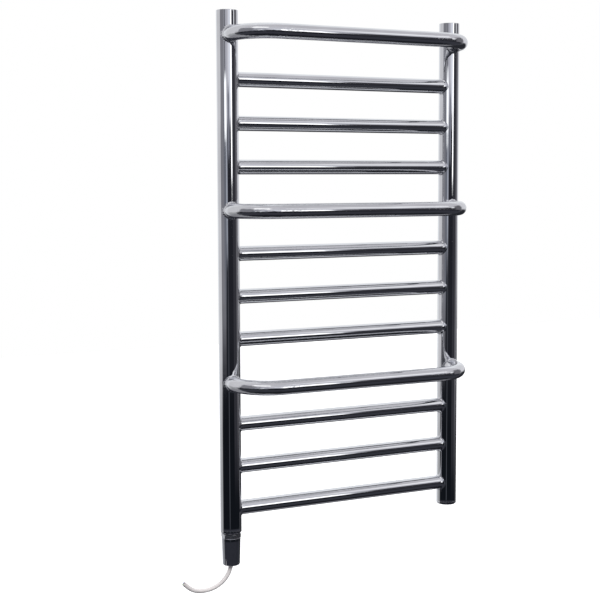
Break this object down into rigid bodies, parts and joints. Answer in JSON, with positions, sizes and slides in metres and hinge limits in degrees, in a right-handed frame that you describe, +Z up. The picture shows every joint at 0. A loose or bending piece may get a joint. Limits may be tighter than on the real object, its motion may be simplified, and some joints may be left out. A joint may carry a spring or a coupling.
{
  "type": "towel warmer rack",
  "caption": "Electric ladder towel rail with round uprights, straight crossbars and bowed-out towel bars; element cover and short cord under the left foot.",
  "frame": {"origin": "middle of the four wall bosses, on their rear faces", "axes": "+X along the bars to the right, +Y to the wall, +Z up"},
  "size_m": [0.4712, 0.1025, 0.8619],
  "materials": {
    "bright_chrome": "bright chrome plate, polished mirror smooth",
    "cover_chrome": "bright chrome plate, polished",
    "nickel_head": "nickel plated, turned",
    "seal_fibre": "matt black sealing washer",
    "element_steel": "drawn stainless sheath",
    "magnesia": "pressed mineral powder, matt",
    "heating_wire": "drawn resistance wire",
    "brass_pin": "drawn brass",
    "terminal_plastic": "moulded, matt",
    "black_rubber": "moulded, matt",
    "grommet_grey": "moulded, matt",
    "cord_grey": "soft pale grey sheath, satin",
    "core_brown": "extruded, smooth",
    "core_blue": "extruded, smooth",
    "core_green": "extruded, smooth"
  },
  "bodies": {
    "root": {"left_upright": "bright_chrome", "right_upright": "bright_chrome", "crossbar_1": "bright_chrome", "crossbar_2": "bright_chrome", "crossbar_3": "bright_chrome", "crossbar_4": "bright_chrome", "crossbar_5": "bright_chrome", "crossbar_6": "bright_chrome", "crossbar_7": "bright_chrome", "crossbar_8": "bright_chrome", "crossbar_9": "bright_chrome", "towel_bar_top": "bright_chrome", "towel_bar_middle": "bright_chrome", "towel_bar_lower": "bright_chrome", "left_top_cap": "bright_chrome", "right_top_cap": "bright_chrome", "left_end_bush": "bright_chrome", "right_end_bush": "bright_chrome", "wall_bosses": "bright_chrome", "blanking_plug": "bright_chrome", "blanking_plug_ring": "black_rubber", "element_seal": "seal_fibre", "element_head": "nickel_head", "element_sheath": "element_steel", "heating_coil": "heating_wire", "terminal_pins": "brass_pin", "element_bead": "magnesia", "element_filling": "magnesia", "terminal_block": "terminal_plastic", "thermal_cutout": "terminal_plastic", "earth_tag": "brass_pin", "cord_grommet": "grommet_grey", "cord_lock": "terminal_plastic", "cord_inner_end": "cord_grey", "live_core": "core_brown", "neutral_core": "core_blue", "earth_core": "core_green", "element_cover": "cover_chrome", "supply_cord": "cord_grey"}
  },
  "joints": []
}
